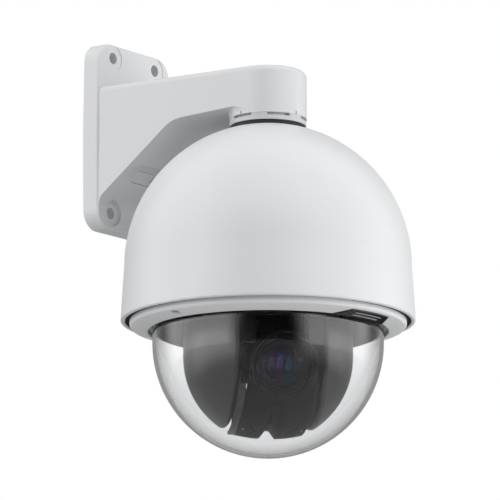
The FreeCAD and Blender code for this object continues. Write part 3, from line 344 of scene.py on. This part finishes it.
def clear(name, tint, index, with_painted_reflection=False):
    """Clear plastic or glass that lets lamplight through to what is behind it."""
    tree = Tree(name)
    # lays a painted reflection of purple and blue bands into the glass's specular tint
    if with_painted_reflection:
        paint_lens_reflection(tree)
    tree.feed("Base Color", tree.ramp(tree.noise(25.0), [(0.3, shade(tint, 0.985)), (0.7, tint)]))
    tree.feed("Normal", tree.bump(tree.noise(70.0, 2.0), 0.000002))
    tree.set(Roughness=0.0, Transmission_Weight=1.0, IOR=index)
    lamp = tree.nodes.new("ShaderNodeLightPath")
    through = tree.nodes.new("ShaderNodeBsdfTransparent")
    through.inputs["Color"].default_value = (*tint, 1.0)
    mix = tree.nodes.new("ShaderNodeMixShader")
    tree.links.new(lamp.outputs["Is Shadow Ray"], mix.inputs["Fac"])
    tree.links.new(tree.shader.outputs["BSDF"], mix.inputs[1])
    tree.links.new(through.outputs["BSDF"], mix.inputs[2])
    tree.links.new(mix.outputs["Shader"], tree.output.inputs["Surface"])
    return tree.material


def make_materials():
    return {
        "arm_paint": paint("arm_paint", (0.72, 0.73, 0.74)),
        "housing_paint": paint("housing_paint", (0.78, 0.79, 0.80), 0.34),
        "ring_paint": paint("ring_paint", (0.84, 0.85, 0.86), 0.42),
        "collar_paint": paint("collar_paint", (0.62, 0.63, 0.64), 0.4),
        "badge": moulded("badge", (0.010, 0.010, 0.012), 0.42),
        "plate_mark": moulded("plate_mark", (0.55, 0.56, 0.57), 0.4),
        "clear_dome": clear("clear_dome", (0.95, 0.955, 0.96), 1.49),
        # lens glass carrying a painted reflection of grey, purple and blue bands
        "optical_glass": clear("optical_glass", (0.80, 0.76, 0.92), 1.6, with_painted_reflection=True),
        "black_cover": moulded("black_cover", (0.008, 0.008, 0.009), 0.42, 900.0, 0.000001, coat=0.35),
        "black_matt": moulded("black_matt", (0.004, 0.004, 0.0045), 0.55, 1200.0, 0.000001, shine=0.15),
        "black_metal": moulded("black_metal", (0.004, 0.004, 0.004), 0.45, 1500.0, 0.000001, shine=0.15),
        "liner_black": moulded("liner_black", (0.004, 0.004, 0.0045), 0.6, 900.0, 0.00001, shine=0.2),
        # near-black seal rings: the rubber's own colour, and also painted shade, as they fill shadowed gaps such
        # as the one between the housing rim and the trim ring with dark
        "gasket": moulded("gasket", (0.012, 0.012, 0.012), 0.7),
        "zinc_steel": metal("zinc_steel", (0.55, 0.56, 0.57), 0.4),
        "stainless": metal("stainless", (0.62, 0.62, 0.61), 0.3),
        "chassis_metal": moulded("chassis_metal", (0.02, 0.02, 0.021), 0.5),
        "machined_alloy": metal("machined_alloy", (0.72, 0.73, 0.74), 0.35),
        "brass": metal("brass", (0.72, 0.53, 0.22), 0.3),
        "gear_nylon": moulded("gear_nylon", (0.75, 0.73, 0.66), 0.45),
        "board_green": moulded("board_green", (0.01, 0.10, 0.04), 0.35),
        "terminal_green": moulded("terminal_green", (0.03, 0.25, 0.08), 0.45),
        "motor_can": metal("motor_can", (0.30, 0.31, 0.32), 0.4),
        "fan_black": moulded("fan_black", (0.015, 0.015, 0.015), 0.5),
    }


def dress_cad_nodes(materials):
    """Give every CAD node the finished material of its slot."""
    slots = {part["node"]: part["material_slot"] for part in frame["record"]["subparts"]}
    for name, node in NODES.items():
        node.data.materials.clear()
        node.data.materials.append(materials[slots[name]])


# ---- finishing pieces ------------------------------------------------------------------------
def solid(name, corners, faces, body, slot):
    mesh = bpy.data.meshes.new(name)
    mesh.from_pydata([tuple(corner) for corner in corners], [], faces)
    shape = bmesh.new()
    shape.from_mesh(mesh)
    bmesh.ops.recalc_face_normals(shape, faces=shape.faces)
    shape.to_mesh(mesh)
    shape.free()
    mesh.materials.append(MATERIALS[slot])
    piece = bpy.data.objects.new(name, mesh)
    bpy.context.collection.objects.link(piece)
    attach(piece, body)
    return piece


def sweep(name, rings, body, slot):
    """Closed bar through a list of four-cornered sections."""
    corners = [corner for ring in rings for corner in ring]
    faces = [(0, 1, 2, 3), tuple(len(corners) - 4 + i for i in range(4))]
    for k in range(len(rings) - 1):
        for i in range(4):
            j = (i + 1) % 4
            faces.append((4 * k + i, 4 * k + j, 4 * k + 4 + j, 4 * k + 4 + i))
    return solid(name, corners, faces, body, slot)


def cover_lip():
    """Lip along the inner edge of the left side cover, closing on the camera head."""
    low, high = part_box("left_cover")
    side = math.copysign(1.0, ((low + high) / 2 - TILT_POINT).dot(TILT_AXIS))
    section = [(LIP_INNER, LIP_LOW), (LIP_OUTER, LIP_LOW), (LIP_OUTER, LIP_HIGH), (LIP_INNER, LIP_HIGH)]
    rings = []
    for step in range(49):
        angle = math.radians(LIP_FROM + (LIP_TO - LIP_FROM) * step / 48)
        out = FORWARD * math.cos(angle) + Vector((0, 0, -math.sin(angle)))
        ring = []
        for across, radius in section:
            ring.append(TILT_POINT + TILT_AXIS * (side * across) + out * radius)
        rings.append(ring)
    sweep("cover_lip_left", rings, "pan_unit", "black_cover")


def plate_mark():
    """Two plain raised lines across the name plate, in place of any lettering."""
    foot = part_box("badge_plate")[0].z
    for index, radius in enumerate(MARK_RADII):
        rings = []
        for step in range(25):
            angle = math.radians(MARK_FROM + (MARK_TO - MARK_FROM) * step / 24)
            ring = []
            for r, sunk in ((radius - MARK_HALF, MARK_SUNK), (radius + MARK_HALF, MARK_SUNK),
                            (radius + MARK_HALF, -MARK_PROUD), (radius - MARK_HALF, -MARK_PROUD)):
                height = foot + (r - PLATE_INNER_R) * PLATE_FALL + sunk
                ring.append(AXIS + Vector((r * math.sin(angle), -r * math.cos(angle), height)))
            rings.append(ring)
        sweep(f"plate_line_{index + 1}", rings, "fixed", "plate_mark")


make_camera()
make_studio()
MATERIALS = make_materials()
dress_cad_nodes(MATERIALS)
cover_lip()
plate_mark()
